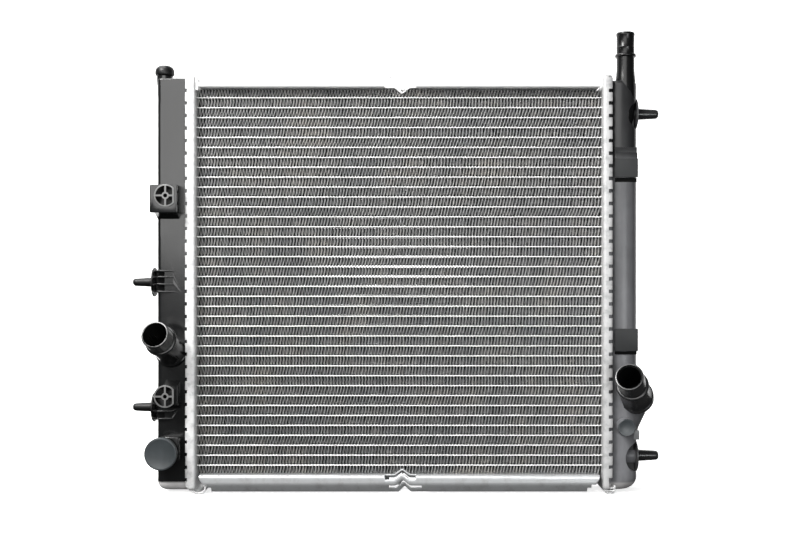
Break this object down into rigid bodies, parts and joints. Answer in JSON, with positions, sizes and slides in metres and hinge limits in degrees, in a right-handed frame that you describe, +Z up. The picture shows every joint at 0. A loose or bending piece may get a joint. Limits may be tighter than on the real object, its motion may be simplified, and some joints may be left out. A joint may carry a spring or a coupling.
{
  "type": "car radiator",
  "caption": "Crossflow car radiator: brazed aluminium tube and fin core, crimped plastic side tanks with hose necks, locating pins, fan bosses and a bleed screw.",
  "frame": {"origin": "middle of the bounding box's bottom, level with the soles of the two header feet", "axes": "+X along the tubes from the tank with the bleed screw to the tank with the top spigot, +Y along the airflow away from the side the hose necks stand out of, +Z up"},
  "size_m": [0.508, 0.0872, 0.4412],
  "materials": {
    "core_fins": "satin",
    "side_plates": "satin",
    "headers": "satin",
    "gasket_rubber": "matte",
    "tank_plastic": "satin",
    "bleed_screw_plastic": "satin",
    "seal_rubber": "matte"
  },
  "bodies": {
    "radiator": {"tube_and_fin_01": "core_fins", "tube_and_fin_02": "core_fins", "tube_and_fin_03": "core_fins", "tube_and_fin_04": "core_fins", "tube_and_fin_05": "core_fins", "tube_and_fin_06": "core_fins", "tube_and_fin_07": "core_fins", "tube_and_fin_08": "core_fins", "tube_and_fin_09": "core_fins", "tube_and_fin_10": "core_fins", "tube_and_fin_11": "core_fins", "tube_and_fin_12": "core_fins", "tube_and_fin_13": "core_fins", "tube_and_fin_14": "core_fins", "tube_and_fin_15": "core_fins", "tube_and_fin_16": "core_fins", "tube_and_fin_17": "core_fins", "tube_and_fin_18": "core_fins", "tube_and_fin_19": "core_fins", "tube_and_fin_20": "core_fins", "tube_and_fin_21": "core_fins", "tube_and_fin_22": "core_fins", "tube_and_fin_23": "core_fins", "tube_and_fin_24": "core_fins", "tube_and_fin_25": "core_fins", "tube_and_fin_26": "core_fins", "tube_and_fin_27": "core_fins", "tube_and_fin_28": "core_fins", "tube_and_fin_29": "core_fins", "tube_and_fin_30": "core_fins", "tube_and_fin_31": "core_fins", "tube_and_fin_32": "core_fins", "tube_and_fin_33": "core_fins", "tube_and_fin_34": "core_fins", "tube_and_fin_35": "core_fins", "tube_and_fin_36": "core_fins", "tube_and_fin_37": "core_fins", "tube_and_fin_38": "core_fins", "top_fin": "core_fins", "top_side_plate": "side_plates", "bottom_side_plate": "side_plates", "left_header": "headers", "right_header": "headers", "left_tank_gasket": "gasket_rubber", "right_tank_gasket": "gasket_rubber", "left_tank": "tank_plastic", "right_tank": "tank_plastic"},
    "bleed_seal": {"bleed_screw_seal": "seal_rubber"},
    "bleed_screw_body": {"bleed_screw": "bleed_screw_plastic"}
  },
  "joints": [
    {"name": "bleed_screw_rise", "type": "slide", "parent": "radiator", "child": "bleed_seal", "axis": [0, 0, 1], "range_m": [0, 0.004]},
    {"name": "bleed_screw_turn", "type": "hinge", "parent": "bleed_seal", "child": "bleed_screw_body", "pos_m": [-0.222, 0.01513, 0.3996], "axis": [0, 0, 1], "range_deg": [0, 720]}
  ],
  "couplings": [
    {"joint": "bleed_screw_turn", "follows": "bleed_screw_rise", "rad_per_m": 3141.6}
  ]
}
